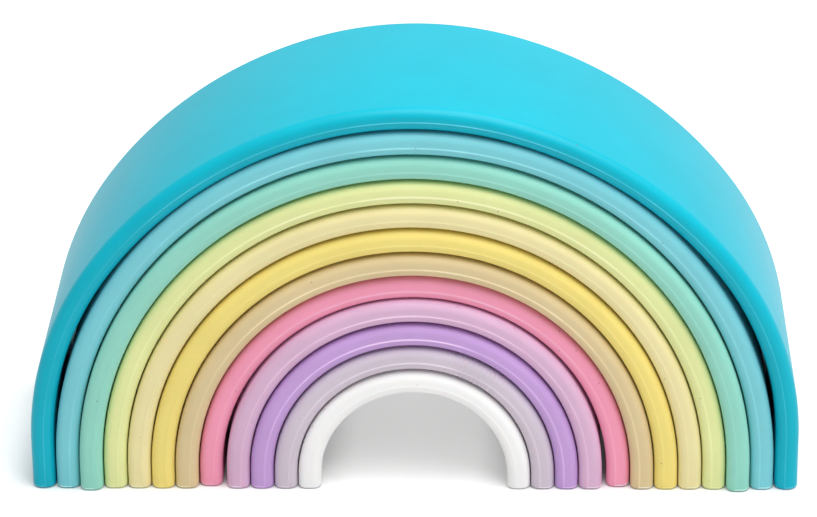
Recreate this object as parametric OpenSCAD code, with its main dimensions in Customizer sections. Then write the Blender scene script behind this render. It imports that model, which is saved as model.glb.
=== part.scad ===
// Rainbow stacker: twelve soft moulded arches standing one inside the next.
// Every arch is a plain bar with full round front and back edges, two short straight legs
// and flat feet. X runs across the nest, Y from front to back, Z up, origin under the middle.

/* [Bars] */
// Width over the feet of the outermost arch
nest_w = 268; // [240:1:300]
// Front to back depth of every arch
arch_d = 84; // [60:1:110]
// Thickness of every bar
bar_t = 8.05; // [7:0.05:8.6]
// Straight leg of the sky blue arch, floor to springing
leg_h = 9.1; // [8.5:0.1:18]
// Rounding along the bottom edge of every foot
foot_round = 1.2; // [0.6:0.1:2]

/* [Gaps] */
// Gap between neighbouring legs
leg_gap = 0.31; // [0.3:0.01:0.6]
// Gap between neighbouring crowns
crown_gap = 0.95; // [0.6:0.05:1]
// Gap between the legs of the two outermost arches
outer_leg_gap = 0.5; // [0.45:0.05:1]
// Gap between the legs of the rose and orchid arches, which fit loosely
loose_leg_gap = 1.6; // [0.8:0.1:2.5]
// Gap between the crowns of the rose and orchid arches
loose_crown_gap = 0.38; // [0.35:0.01:0.8]

/* [Slumped outermost arch] */
// Gap between the crowns of the two outermost arches
outer_crown_gap = 1; // [0.95:0.05:1.5]
// How much less the radius of the crown is than the inner half width
crown_less = 8.4; // [7:0.1:8.8]
// How much more the radius of the flanks is than the inner half width
flank_more = 14; // [13:0.1:16]

/* [Places in the nest] */
// How far the mint arch stands forward and the rose arch stands back
slip = 1.8; // [0:0.1:4]

/* [Hidden] */
$fn = 96;

// Length of the flat part of a bar between its round edges
flat_d = arch_d - bar_t;

// Inner radius and leg height of the eleven plain arches, counted from sky blue as 0
loose_place = 7;
first_r = nest_w / 2 - 2 * bar_t - outer_leg_gap;
function loose(i) = i < loose_place ? 0 : 1;
function inner_r(i) = first_r - i * (bar_t + leg_gap) - loose(i) * (loose_leg_gap - leg_gap);
function spring_z(i) = leg_h - i * (crown_gap - leg_gap)
    + loose(i) * (loose_leg_gap - leg_gap - loose_crown_gap + crown_gap);

// Inner outline of the outermost arch: crown, flank and shoulder arcs that meet smoothly.
// Each pair of arcs meets along a line through both centres, in one of these directions.
crown_line = [0.28, 0.96];
shoulder_line = [0.8, 0.6];
floor_line = [1, 0];
line_reach = 500;
half_w = nest_w / 2 - bar_t;
crown_r = half_w - crown_less;
crown_z = leg_h + first_r + bar_t + outer_crown_gap - crown_r;
flank_r = half_w + flank_more;
flank_x = (crown_r - flank_r) * crown_line[0];
flank_z = crown_z + (crown_r - flank_r) * crown_line[1];
shoulder_r = (half_w - flank_x - flank_r * shoulder_line[0]) / (1 - shoulder_line[0]);
shoulder_x = half_w - shoulder_r;
shoulder_z = flank_z + (flank_r - shoulder_r) * shoulder_line[1];

// Outline of a bar cut across, front and back edges fully round
module bar_section(radius) {
    translate([radius, -flat_d / 2]) square([bar_t, flat_d]);
    translate([radius + bar_t / 2, -flat_d / 2]) circle(d = bar_t);
    translate([radius + bar_t / 2, flat_d / 2]) circle(d = bar_t);
}

// Bar bent into a half ring that opens downward
module half_ring(radius) {
    rotate([90, 0, 0]) rotate_extrude(angle = 180) bar_section(radius);
}

// Bar bent into an arc between two lines through its centre
module arc_bar(radius, low_line, high_line) {
    rotate([90, 0, 0]) intersection() {
        rotate_extrude() bar_section(radius);
        linear_extrude(height = 2 * arch_d, center = true)
            polygon([[0, 0], line_reach * low_line, line_reach * high_line]);
    }
}

// Right half of a leg seen from the front, hanging from its top, with its rounded bottom edge
module half_leg_outline(height) {
    translate([0, foot_round - height]) square([bar_t / 2, height - foot_round]);
    translate([0, -height]) square([bar_t / 2 - foot_round, height]);
    translate([bar_t / 2 - foot_round, foot_round - height]) circle(r = foot_round);
}

// Straight leg hanging from its top down to its foot, round at front and back
module leg(height) {
    rotate([90, 0, 0]) linear_extrude(height = flat_d, center = true) {
        half_leg_outline(height);
        mirror([1, 0]) half_leg_outline(height);
    }
    translate([0, flat_d / 2, 0]) rotate_extrude(angle = 180) half_leg_outline(height);
    translate([0, -flat_d / 2, 0]) rotate([0, 0, 180]) rotate_extrude(angle = 180) half_leg_outline(height);
}

// Half round arch on two legs, the place counted inward from the sky blue arch
module plain_arch(place) {
    leg_x = inner_r(place) + bar_t / 2;
    translate([0, 0, spring_z(place)]) {
        half_ring(inner_r(place));
        translate([leg_x, 0, 0]) leg(spring_z(place));
        translate([-leg_x, 0, 0]) leg(spring_z(place));
    }
}

// Round core inside the bar, across the line on which two arcs of it meet
module core(radius, line) {
    middle = radius + bar_t / 2;
    translate([middle * line[0], 0, middle * line[1]]) rotate([90, 0, 0])
        cylinder(d = bar_t / 2, h = flat_d, center = true);
}

// Right side of the outermost arch below its crown
module slumped_side() {
    translate([flank_x, 0, flank_z]) {
        arc_bar(flank_r, shoulder_line, crown_line);
        core(flank_r, crown_line);
        core(flank_r, shoulder_line);
    }
    translate([shoulder_x, 0, shoulder_z]) {
        arc_bar(shoulder_r, floor_line, shoulder_line);
        translate([shoulder_r + bar_t / 2, 0, 0]) leg(shoulder_z);
    }
}

module turquoise_arch() {
    color("#12b4cf") {
        translate([0, 0, crown_z]) arc_bar(crown_r, crown_line, [-crown_line[0], crown_line[1]]);
        slumped_side();
        mirror([1, 0, 0]) slumped_side();
    }
}

module sky_blue_arch() {
    color("#82cdd9") plain_arch(0);
}

module mint_arch() {
    color("#a0dfd0") translate([0, -slip, 0]) plain_arch(1);
}

module lime_arch() {
    color("#dfe6a6") plain_arch(2);
}

module cream_arch() {
    color("#ecdfac") plain_arch(3);
}

module yellow_arch() {
    color("#eeda84") plain_arch(4);
}

module sand_arch() {
    color("#dec9a0") plain_arch(5);
}

module rose_arch() {
    color("#e695ac") translate([0, slip, 0]) plain_arch(6);
}

module orchid_arch() {
    color("#dab3ce") plain_arch(7);
}

module lavender_arch() {
    color("#be9bd1") plain_arch(8);
}

module lilac_grey_arch() {
    color("#ccbeca") plain_arch(9);
}

module white_arch() {
    color("#f5f5f5") plain_arch(10);
}

turquoise_arch();
sky_blue_arch();
mint_arch();
lime_arch();
cream_arch();
yellow_arch();
sand_arch();
rose_arch();
orchid_arch();
lavender_arch();
lilac_grey_arch();
white_arch();
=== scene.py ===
"""Rainbow stacker: twelve moulded silicone arches, each modelled over its solid, on a pale floor."""

import math

import bmesh
import bpy
from mathutils import Matrix, Vector


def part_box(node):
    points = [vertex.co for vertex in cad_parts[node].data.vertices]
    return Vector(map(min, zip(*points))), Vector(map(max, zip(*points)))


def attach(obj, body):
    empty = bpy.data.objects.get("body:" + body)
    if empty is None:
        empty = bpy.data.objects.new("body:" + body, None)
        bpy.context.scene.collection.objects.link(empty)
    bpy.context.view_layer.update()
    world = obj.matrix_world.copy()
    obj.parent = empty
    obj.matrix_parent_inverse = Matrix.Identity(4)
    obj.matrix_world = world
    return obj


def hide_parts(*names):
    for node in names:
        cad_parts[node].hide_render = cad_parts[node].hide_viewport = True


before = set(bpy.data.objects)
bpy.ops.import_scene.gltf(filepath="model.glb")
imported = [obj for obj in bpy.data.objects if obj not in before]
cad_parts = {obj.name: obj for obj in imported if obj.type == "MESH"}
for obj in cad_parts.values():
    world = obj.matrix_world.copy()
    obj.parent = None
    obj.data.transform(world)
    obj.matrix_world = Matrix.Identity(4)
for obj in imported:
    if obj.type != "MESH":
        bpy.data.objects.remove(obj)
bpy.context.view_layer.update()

MM = 0.001

# Bars, as the solids have them
BAR = 8.05 * MM
FOOT_ROUND = 1.2 * MM

# Corners of the front and back edges, a little tighter than the full rounds of the solids
NOSE_ROUND = 3 * MM
OUTER_NOSE_ROUND = 3.6 * MM

# Outermost arch: three arcs a side, which meet along lines through their centres. The soft bar has slumped
# unevenly: how much less than the inner half width the crown's radius is, and how much more the flank's is.
SLUMP_RIGHT = (8.6 * MM, 13.6 * MM)
SLUMP_LEFT = (9.1 * MM, 11.2 * MM)
FLOOR_LINE = Vector((1, 0, 0))
SHOULDER_LINE = Vector((0.8, 0, 0.6))
CROWN_LINE = Vector((0.28, 0, 0.96))
TOP_LINE = Vector((0, 0, 1))

# The mint arch stands forward on its feet, and its soft crown leans back among its neighbours
CROWN_LEAN = 1.8 * MM

# How finely the bars are drawn
NOSE_POINTS = 50
NOSE_STEP = 2 * math.pi / NOSE_POINTS
FOOT_STEPS = 6
STEP_LENGTH = 1.6 * MM
FEWEST_STEPS = 4
SMOOTH_BELOW = math.radians(24)
TOUCH = 0.01 * MM
MERGE_WITHIN = 0.0025 * MM

# Parting line of the mould: a fine raised seam along each nose, a little to the inner side of its middle,
# which turns along the outer bottom edge of each foot, on the ring below the top of its rounding
SEAM_CUTS = 2
SEAM_SHARE = SEAM_CUTS / (SEAM_CUTS + 1)
SEAM_RISE = 0.1 * MM
SEAM_ON_LEGS = 0.25
HOOK_RISE = 0.04 * MM
HOOK_HEIGHT = FOOT_ROUND * (1 - math.sin(math.pi / 2 / FOOT_STEPS))
HOOK_SLACK = 0.04 * MM

# Ripples in the mould, right of the crown of the lilac grey arch: where, how far apart and how high,
# and the distances at which they start to fade and end
RIPPLES_AT = Vector((22, -41, 46)) * MM
RIPPLES_ALONG = Vector((0.88, 0, -0.47))
RIPPLE_PITCH = 1.75 * MM
RIPPLE_HEIGHT = 0.12 * MM
RIPPLES_FADE = 4 * MM
RIPPLES_END = 14 * MM

# Sizes of the patterns in the silicone
CLOUD_SIZE = 22 * MM
SEAM_BREAK_SIZE = 30 * MM
SPECK_SPACING = 7 * MM
SPECK_RADIUS = 0.35 * MM
GRAIN_SIZE = 0.5 * MM
GRAIN_HEIGHT = 0.02 * MM

# How the seam and the specks differ from the silicone round them; the seam's brightening is partly a
# painted highlight
SEAM_FAINTEST = 0.35
SEAM_SATURATION = 0.7
SEAM_HIGHLIGHT_BRIGHTNESS = 2.4
SPECKED_CELLS = 0.4
SPECK_STRENGTH = 0.4
SPECK_COLOUR = "#6B6A66"

# Camera, fitted to the photograph, which is 817 pixels wide
PHOTO_WIDTH = 817
FOCAL_PIXELS = 3817
SENSOR_WIDTH = 36
CAMERA_AT = Vector((32.0, -1223.5, 629.4)) * MM
CAMERA_YAW = math.radians(1.604)
CAMERA_PITCH = math.radians(24.568)
CAMERA_ROLL = math.radians(-0.623)

# Light and floor
SURROUND_LEVEL = 0.47
SOFT_BOX_AT = Vector((0.45, -0.38, 1.75))
SOFT_BOX_SIZE = 1.6
SOFT_BOX_POWER = 40.5
FLOOR_SIZE = 12
FLOOR_COLOUR = "#E2E2E2"
FLOOR_LIFT = 0.35
FLOOR_SHADE_REACH = 12 * MM

# Arches from the outside in: colour, and how strongly the seam's paler colour, partly a painted highlight,
# shows on the nose and on the feet
ARCHES = {
    "turquoise": ("#00B5CB", 0.5, 0.4),
    "sky_blue": ("#80D2DC", 0.35, 1),
    "mint": ("#97DBCA", 0.1, 0.9),
    "lime": ("#E9EEA9", 0.4, 0.3),
    "cream": ("#F2E6AD", 0.06, 0.8),
    "yellow": ("#F6E283", 0.08, 0.3),
    "sand": ("#E0CB9D", 0.5, 1),
    "rose": ("#FCA1BE", 0.35, 0.9),
    "orchid": ("#DEB7D5", 0.45, 1),
    "lavender": ("#C9A3DD", 0.7, 0.7),
    "lilac_grey": ("#D5C9D6", 0.4, 0.6),
    "white": ("#FCFCFB", 0.05, 0.2),
}


def pick(test):
    """Selects the vertices of the mesh in edit mode whose place passes the test, and nothing else."""
    bpy.ops.mesh.select_all(action="DESELECT")
    mesh = bmesh.from_edit_mesh(bpy.context.edit_object.data)
    for vert in mesh.verts:
        vert.select = test(vert.co)
    mesh.select_flush(True)
    bmesh.update_edit_mesh(bpy.context.edit_object.data)


def nose_edge(nose_round):
    """Half the width of the nearly flat face between the corners of a nose."""
    return BAR / 2 - nose_round + nose_round * math.sin(NOSE_STEP)


def start_bar(name, x, y, depth, nose_round):
    """Section of a bar lying on the floor: a ring drawn out into a slot, its seam points in a group."""
    bpy.ops.object.select_all(action="DESELECT")
    bpy.ops.mesh.primitive_circle_add(vertices=NOSE_POINTS, radius=nose_round, location=(0, 0, 0))
    bar = bpy.context.object
    bar.name = name
    bpy.ops.object.mode_set(mode="EDIT")
    nose = depth / 2 - SEAM_RISE
    front = nose - nose_round * NOSE_STEP
    edge = nose_edge(nose_round)
    for side in (-1, 1):
        pick(lambda co: co.x * side > TOUCH)
        bpy.ops.transform.translate(value=(side * (BAR / 2 - nose_round), 0, 0))
        pick(lambda co: co.y * side > 0)
        bpy.ops.transform.translate(value=(0, side * (nose - nose_round), 0))
    for side in (-1, 1):
        pick(lambda co: co.y * side > front and abs(co.x + edge / 2) < edge / 2 + TOUCH)
        bpy.ops.mesh.subdivide(number_cuts=SEAM_CUTS)
    bpy.ops.object.vertex_group_add()
    bar.vertex_groups.active.name = "seam_points"
    pick(lambda co: abs(co.y) > front and abs(co.x + edge * SEAM_SHARE) < TOUCH)
    bpy.ops.object.vertex_group_assign()
    bpy.ops.mesh.select_all(action="SELECT")
    bpy.ops.transform.translate(value=(x, y, 0))
    return bar


def rise(height):
    """Draws the selected end of the bar straight up, or down."""
    bpy.ops.mesh.extrude_region_move(TRANSFORM_OT_translate={"value": (0, 0, height)})


def turn(centre, radius, line_from, line_to):
    """Bends the bar on round a centre, from one line through it to the next."""
    angle = line_from.angle(line_to)
    steps = max(FEWEST_STEPS, round(radius * angle / STEP_LENGTH))
    bpy.ops.mesh.spin(steps=steps, angle=angle, center=centre, axis=(0, 1, 0))


def finish_bar(bar, nose_round, on_nose, on_feet):
    """Closes the feet, rounds their edges and raises the seam, whose paler colour and painted highlight
    show by these shares.
    """
    for side in (-1, 1):
        pick(lambda co: co.z < TOUCH and co.x * side > 0)
        bpy.ops.mesh.edge_face_add()
    bpy.ops.mesh.select_all(action="SELECT")
    bpy.ops.mesh.remove_doubles(threshold=MERGE_WITHIN)
    bpy.ops.mesh.normals_make_consistent(inside=False)
    pick(lambda co: co.z < TOUCH)
    bpy.ops.mesh.bevel(offset=FOOT_ROUND, segments=FOOT_STEPS, affect="EDGES", clamp_overlap=False)

    # The seam runs down the nose as far as the rounding of the foot
    pick(lambda co: co.z < FOOT_ROUND - TOUCH)
    bpy.ops.object.vertex_group_remove_from()
    bpy.ops.mesh.select_all(action="DESELECT")
    bpy.ops.object.vertex_group_select()
    bpy.ops.transform.shrink_fatten(value=SEAM_RISE)

    # There it turns along the outer bottom edge
    mesh = bmesh.from_edit_mesh(bar.data)
    foot_middle = max(abs(vert.co.x) for vert in mesh.verts) - BAR / 2
    seam_x = foot_middle - nose_edge(nose_round) * SEAM_SHARE
    pick(lambda co: abs(co.z - HOOK_HEIGHT) < HOOK_SLACK and abs(co.x) > seam_x - TOUCH)
    bpy.ops.transform.shrink_fatten(value=HOOK_RISE)
    bpy.ops.object.vertex_group_assign()
    bpy.ops.object.mode_set(mode="OBJECT")

    # Its pale colour is partly a painted highlight, painted stronger towards the crown and on the feet,
    # where the ridge catches the light, and weaker on the legs
    top = max(vert.co.z for vert in bar.data.vertices)
    seam = bar.data.attributes.new("seam", "FLOAT", "POINT")
    for vert in bar.data.vertices:
        shows = on_nose * max(SEAM_ON_LEGS, (vert.co.z / top) ** 2)
        if vert.co.z < FOOT_ROUND - TOUCH:
            shows = on_feet
        seam.data[vert.index].value = shows if vert.groups else 0
    bpy.ops.object.shade_smooth_by_angle(angle=SMOOTH_BELOW)


def lean_back(bar):
    """Pulls the crown back, and the rest of the arch less and less towards its feet."""
    bpy.ops.object.mode_set(mode="EDIT")
    top = max(vert.co.z for vert in bmesh.from_edit_mesh(bar.data).verts)
    past_feet = top * math.sqrt(2)
    pick(lambda co: co.z > top - BAR - TOUCH and abs(co.x) < STEP_LENGTH)
    bpy.ops.transform.translate(
        value=(0, CROWN_LEAN, 0), use_proportional_edit=True,
        proportional_edit_falloff="LINEAR", proportional_size=past_feet)
    bpy.ops.object.mode_set(mode="OBJECT")


def plain_arch(name, on_nose, on_feet):
    """Half round arch on two straight legs, sized from its solid."""
    low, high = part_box(f"{name}_arch")
    outer = (high.x - low.x) / 2
    leg = high.z - outer
    bar = start_bar(f"{name}_bar", outer - BAR / 2, (low.y + high.y) / 2, high.y - low.y, NOSE_ROUND)
    rise(leg)
    turn((0, 0, leg), outer, FLOOR_LINE, -FLOOR_LINE)
    rise(-leg)
    finish_bar(bar, NOSE_ROUND, on_nose, on_feet)
    return bar


def slumped_side(half_w, top, crown_less, flank_more):
    """Shoulder, flank and crown arcs of the right side, from the leg up: centre, radius and two lines."""
    crown_r = half_w - crown_less
    flank_r = half_w + flank_more
    crown = Vector((0, 0, top - crown_r))
    flank = crown + (crown_r - flank_r) * CROWN_LINE
    shoulder_r = (half_w - flank.x - flank_r * SHOULDER_LINE.x) / (1 - SHOULDER_LINE.x)
    shoulder = flank + (flank_r - shoulder_r) * SHOULDER_LINE
    return (
        (shoulder, shoulder_r, FLOOR_LINE, SHOULDER_LINE),
        (flank, flank_r, SHOULDER_LINE, CROWN_LINE),
        (crown, crown_r, CROWN_LINE, TOP_LINE),
    )


def slumped_arch(name, on_nose, on_feet):
    """Outermost arch, whose crown sags and whose shoulders stand off the arch inside it."""
    low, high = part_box(f"{name}_arch")
    half_w = (high.x - low.x) / 2 - BAR
    middle = (low.y + high.y) / 2
    right = slumped_side(half_w, high.z - BAR, *SLUMP_RIGHT)
    left = slumped_side(half_w, high.z - BAR, *SLUMP_LEFT)
    right_leg = right[0][0].z
    left_leg = left[0][0].z
    bar = start_bar(f"{name}_bar", half_w + BAR / 2, middle, high.y - low.y, OUTER_NOSE_ROUND)
    rise(right_leg)
    for arc in right:
        turn(*arc)
    for centre, radius, line_from, line_to in reversed(left):
        turn(centre * Vector((-1, 1, 1)), radius, line_to, line_from)
    rise(-left_leg)
    finish_bar(bar, OUTER_NOSE_ROUND, on_nose, on_feet)
    return bar


def linear(hex_colour, alpha=1):
    """sRGB hex to the linear colour that Blender's sockets hold."""
    parts = (int(hex_colour[i : i + 2], 16) / 255 for i in (1, 3, 5))
    return (*(c / 12.92 if c <= 0.04045 else ((c + 0.055) / 1.055) ** 2.4 for c in parts), alpha)


def add(tree, kind, inputs=(), **settings):
    """Adds a node with its settings; each input is a value or another node's output."""
    node = tree.nodes.new(kind)
    for key, value in settings.items():
        setattr(node, key, value)
    for socket, value in dict(inputs).items():
        if isinstance(value, bpy.types.NodeSocket):
            tree.links.new(value, node.inputs[socket])
        else:
            node.inputs[socket].default_value = value
    return node


def new_material(name):
    """Empty material, and the tree its nodes go in."""
    material = bpy.data.materials.new(name)
    material.use_nodes = True
    material.node_tree.nodes.clear()
    return material, material.node_tree


def rippled(tree, place, normal):
    """Fine ripples across the bar, fading out over a centimetre, added to a normal."""
    along = add(tree, "ShaderNodeVectorMath", {
        0: place, 1: RIPPLES_ALONG * (2 * math.pi / RIPPLE_PITCH)}, operation="DOT_PRODUCT")
    wave = add(tree, "ShaderNodeMath", {0: along.outputs["Value"]}, operation="SINE")
    away = add(tree, "ShaderNodeVectorMath", {0: place, 1: RIPPLES_AT}, operation="DISTANCE")
    near = add(tree, "ShaderNodeMapRange", {
        "Value": away.outputs["Value"],
        "From Min": RIPPLES_FADE, "From Max": RIPPLES_END, "To Min": 1, "To Max": 0})
    height = add(tree, "ShaderNodeMath", {
        0: wave.outputs[0], 1: near.outputs["Result"]}, operation="MULTIPLY")
    return add(tree, "ShaderNodeBump", {
        "Height": height.outputs[0], "Distance": RIPPLE_HEIGHT, "Normal": normal}).outputs["Normal"]


def silicone(name, colour, ripples):
    """Moulded silicone: satin and slightly cloudy, with a pale broken seam that carries a painted
    highlight, dust and bubble specks.
    """
    material, tree = new_material(name)
    place = add(tree, "ShaderNodeTexCoord").outputs["Object"]

    # Cloudy pigment, in patches a couple of centimetres across
    cloud = add(tree, "ShaderNodeTexNoise", {"Vector": place, "Scale": 1 / CLOUD_SIZE, "Detail": 3})
    tint = add(tree, "ShaderNodeHueSaturation", {"Color": linear(colour)})
    value = add(tree, "ShaderNodeMapRange", {
        "Value": cloud.outputs["Fac"], "From Min": 0.3, "From Max": 0.7, "To Min": 0.97, "To Max": 1.03})
    tree.links.new(value.outputs["Result"], tint.inputs["Value"])

    # Seam, a fine flash that lets light through and looks paler, brightened further as a painted highlight,
    # broken along its length
    seam = add(tree, "ShaderNodeAttribute", attribute_name="seam")
    broken = add(tree, "ShaderNodeTexNoise", {"Vector": place, "Scale": 1 / SEAM_BREAK_SIZE, "Detail": 2})
    shows = add(tree, "ShaderNodeMapRange", {
        "Value": broken.outputs["Fac"],
        "From Min": 0.35, "From Max": 0.6, "To Min": SEAM_FAINTEST, "To Max": 1})
    pale = add(tree, "ShaderNodeMath", {
        0: seam.outputs["Fac"], 1: shows.outputs["Result"]}, operation="MULTIPLY")
    pale_and_highlit = add(tree, "ShaderNodeHueSaturation", {
        "Color": tint.outputs["Color"], "Saturation": SEAM_SATURATION, "Value": SEAM_HIGHLIGHT_BRIGHTNESS})
    seamed = add(tree, "ShaderNodeMix", {
        "Factor": pale.outputs[0], 6: tint.outputs["Color"], 7: pale_and_highlit.outputs["Color"]},
        data_type="RGBA", clamp_result=True)

    # Specks well under a millimetre across, in some of the cells of a coarse pattern
    cells = add(tree, "ShaderNodeTexVoronoi", {"Vector": place, "Scale": 1 / SPECK_SPACING})
    small = add(tree, "ShaderNodeMath", {
        0: cells.outputs["Distance"], 1: SPECK_RADIUS / SPECK_SPACING}, operation="LESS_THAN")
    chance = add(tree, "ShaderNodeSeparateColor", {"Color": cells.outputs["Color"]})
    some = add(tree, "ShaderNodeMath", {0: chance.outputs["Red"], 1: SPECKED_CELLS}, operation="LESS_THAN")
    speck = add(tree, "ShaderNodeMath", {0: small.outputs[0], 1: some.outputs[0]}, operation="MULTIPLY")
    faint = add(tree, "ShaderNodeMath", {0: speck.outputs[0], 1: SPECK_STRENGTH}, operation="MULTIPLY")
    specked = add(tree, "ShaderNodeMix", {
        "Factor": faint.outputs[0], 6: seamed.outputs[2], 7: linear(SPECK_COLOUR)}, data_type="RGBA")

    # Mould texture, really a tenth of a millimetre, drawn coarser so that it shows
    grain = add(tree, "ShaderNodeTexNoise", {"Vector": place, "Scale": 1 / GRAIN_SIZE, "Detail": 2})
    skin = add(tree, "ShaderNodeBump", {
        "Height": grain.outputs["Fac"], "Strength": 0.25, "Distance": GRAIN_HEIGHT}).outputs["Normal"]
    if ripples:
        skin = rippled(tree, place, skin)
    shader = add(tree, "ShaderNodeBsdfPrincipled", {
        "Base Color": specked.outputs[2], "Roughness": 0.42, "IOR": 1.41, "Specular IOR Level": 0.3,
        "Normal": skin, "Subsurface Weight": 0.12, "Subsurface Scale": 1.5 * MM})
    add(tree, "ShaderNodeOutputMaterial", {"Surface": shader.outputs["BSDF"]})
    return material


def dress_arches():
    """Models every arch over its solid, gives it its silicone and ties it to its body."""
    for name, (colour, on_nose, on_feet) in ARCHES.items():
        make = slumped_arch if name == "turquoise" else plain_arch
        bar = make(name, on_nose, on_feet)
        if name == "mint":
            lean_back(bar)
        bar.data.materials.append(silicone(f"{name}_moulded_silicone", colour, name == "lilac_grey"))
        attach(bar, name)
        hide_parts(f"{name}_arch")


def seen_ray(tree):
    """One for rays that show the background: straight from the eye, reflected or let through."""
    path = add(tree, "ShaderNodeLightPath").outputs
    shown = add(tree, "ShaderNodeMath", {
        0: path["Is Camera Ray"], 1: path["Is Glossy Ray"]}, operation="MAXIMUM")
    return add(tree, "ShaderNodeMath", {
        0: shown.outputs[0], 1: path["Is Transmission Ray"]}, operation="MAXIMUM").outputs[0]


def lay_floor():
    """Pale table, lifted to white for the eye alone; less so in narrow gaps and near the arches, where
    ambient occlusion cuts the lift, a painted shade on top of their real shadow.
    """
    bpy.ops.object.select_all(action="DESELECT")
    bpy.ops.mesh.primitive_plane_add(size=FLOOR_SIZE)
    floor = bpy.context.object
    floor.name = "pale_table"
    material, tree = new_material("matt_white_laminate")
    # Ambient occlusion cuts the lift near the arches and in narrow gaps: painted shade on the floor
    openness = add(tree, "ShaderNodeAmbientOcclusion", {"Distance": FLOOR_SHADE_REACH})
    lift_with_painted_shade = add(tree, "ShaderNodeMath", {
        0: openness.outputs["AO"], 1: FLOOR_LIFT}, operation="MULTIPLY")
    lift = add(tree, "ShaderNodeMath", {
        0: seen_ray(tree), 1: lift_with_painted_shade.outputs[0]}, operation="MULTIPLY")
    paint = add(tree, "ShaderNodeBsdfDiffuse", {"Color": linear(FLOOR_COLOUR)})
    glow = add(tree, "ShaderNodeEmission", {"Strength": lift.outputs[0]})
    both = add(tree, "ShaderNodeAddShader", {0: paint.outputs[0], 1: glow.outputs[0]})
    add(tree, "ShaderNodeOutputMaterial", {"Surface": both.outputs[0]})
    floor.data.materials.append(material)


def light_studio():
    """Even white surround, with one large soft box high in front and to the right."""
    world = bpy.data.worlds.new("white_surround")
    bpy.context.scene.world = world
    world.use_nodes = True
    tree = world.node_tree
    tree.nodes.clear()
    level = add(tree, "ShaderNodeMapRange", {
        "Value": seen_ray(tree), "To Min": SURROUND_LEVEL, "To Max": 1})
    sky = add(tree, "ShaderNodeBackground", {"Strength": level.outputs["Result"]})
    add(tree, "ShaderNodeOutputWorld", {"Surface": sky.outputs[0]})

    bpy.ops.object.light_add(type="AREA", location=SOFT_BOX_AT)
    lamp = bpy.context.object
    lamp.name = "soft_box"
    lamp.data.size = SOFT_BOX_SIZE
    lamp.data.energy = SOFT_BOX_POWER
    lamp.rotation_euler = (-SOFT_BOX_AT).to_track_quat("-Z", "Y").to_euler()


def aim_camera():
    """Long lens in front of the nest, a little above and to the right, as the photograph was taken."""
    bpy.ops.object.camera_add()
    camera = bpy.context.object
    camera.name = "photo_camera"
    camera.data.sensor_width = SENSOR_WIDTH
    camera.data.lens = FOCAL_PIXELS * SENSOR_WIDTH / PHOTO_WIDTH
    camera.matrix_world = (
        Matrix.Translation(CAMERA_AT)
        @ Matrix.Rotation(CAMERA_YAW, 4, "Z")
        @ Matrix.Rotation(math.pi / 2 - CAMERA_PITCH, 4, "X")
        @ Matrix.Rotation(CAMERA_ROLL, 4, "Z")
    )
    bpy.context.scene.camera = camera


bpy.context.scene.view_settings.view_transform = "Standard"
aim_camera()
light_studio()
lay_floor()
dress_arches()
